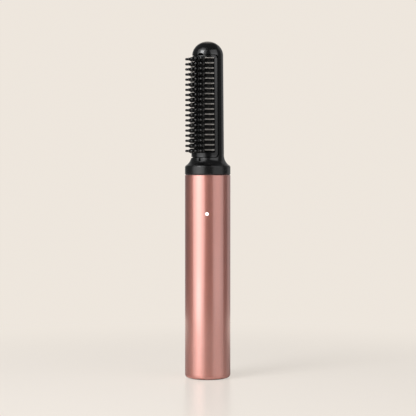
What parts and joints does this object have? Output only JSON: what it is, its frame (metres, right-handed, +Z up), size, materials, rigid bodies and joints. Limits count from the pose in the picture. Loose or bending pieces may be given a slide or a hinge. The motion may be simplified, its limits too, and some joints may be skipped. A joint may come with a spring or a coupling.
{
  "type": "hot comb",
  "caption": "Cordless heated hair-straightening comb with a round metal handle, a black finned comb head with cool tips, a press button and a charging socket in the base.",
  "frame": {"origin": "on the handle's axis at the surface that the comb stands on", "axes": "+Z up along the handle's axis, teeth towards -Y"},
  "size_m": [0.03, 0.03, 0.2216],
  "materials": {
    "rose_metal": "satin bead-blasted rose-gold anodising",
    "black_shell": "semi-gloss black moulding",
    "black_matte": "matte black moulding",
    "cool_tip": "glossy black heat-resistant plastic",
    "fin_metal": "warm grey ceramic-coated metal",
    "block_metal": "black anodised",
    "clear_lens": "milky light pipe",
    "foot_rubber": "matte black rubber",
    "soft_seal": "dark silicone",
    "film": "amber insulating film",
    "ceramic": "pale heating ceramic",
    "contact_brass": "bare contact strip",
    "bright_steel": "plated steel",
    "cell_wrap": "shrink-wrapped steel can",
    "board_green": "solder mask on glass fibre",
    "chip_black": "epoxy package",
    "red_wire": "insulated wire",
    "white_wire": "high-temperature insulated wire",
    "chassis_plastic": "dark grey moulding",
    "rose_button": "satin rose-gold anodising"
  },
  "bodies": {
    "comb": {"head_shell": "black_shell", "comb_frame": "black_shell", "comb_fins": "fin_metal", "left_outer_tips": "cool_tip", "left_inner_tips": "cool_tip", "middle_tips": "cool_tip", "right_inner_tips": "cool_tip", "right_outer_tips": "cool_tip", "heater_block": "block_metal", "heater_carrier": "black_matte", "front_insulation": "film", "rear_insulation": "film", "front_electrode": "contact_brass", "rear_electrode": "contact_brass", "ptc_chips": "ceramic", "clamp_plate": "bright_steel", "heater_screws": "bright_steel", "carrier_screws": "bright_steel", "thermistor": "ceramic", "thermal_fuse": "white_wire", "heater_leads": "white_wire", "sensor_leads": "white_wire", "neck_grommet": "soft_seal", "head_screws": "bright_steel", "collar_ring": "black_shell", "collar_gasket": "soft_seal", "collar_screws": "bright_steel", "handle_tube": "rose_metal", "base_cap": "rose_metal", "foot_pad": "foot_rubber", "base_screws": "bright_steel", "chassis": "chassis_plastic", "battery_cell": "cell_wrap", "battery_tabs": "bright_steel", "battery_pads": "soft_seal", "battery_leads": "red_wire", "main_board": "board_green", "board_screws": "bright_steel", "controller_chip": "chip_black", "power_transistors": "chip_black", "power_inductor": "chip_black", "led_chip": "ceramic", "led_shroud": "black_matte", "led_lens": "clear_lens", "button_bezel": "black_matte", "switch_body": "black_matte", "usb_socket": "bright_steel", "usb_tongue": "black_matte", "usb_board": "board_green", "usb_screws": "bright_steel", "usb_gasket": "soft_seal", "charging_chip": "chip_black", "usb_leads": "red_wire"},
    "button": {"power_button": "rose_button", "switch_plunger": "chip_black"}
  },
  "joints": [
    {"name": "button_press", "type": "slide", "parent": "comb", "child": "button", "axis": [0.7071, -0.7071, 0], "range_m": [0, 0.0004], "stiffness_N_per_m": 3000, "springref_m": -0.0002}
  ]
}
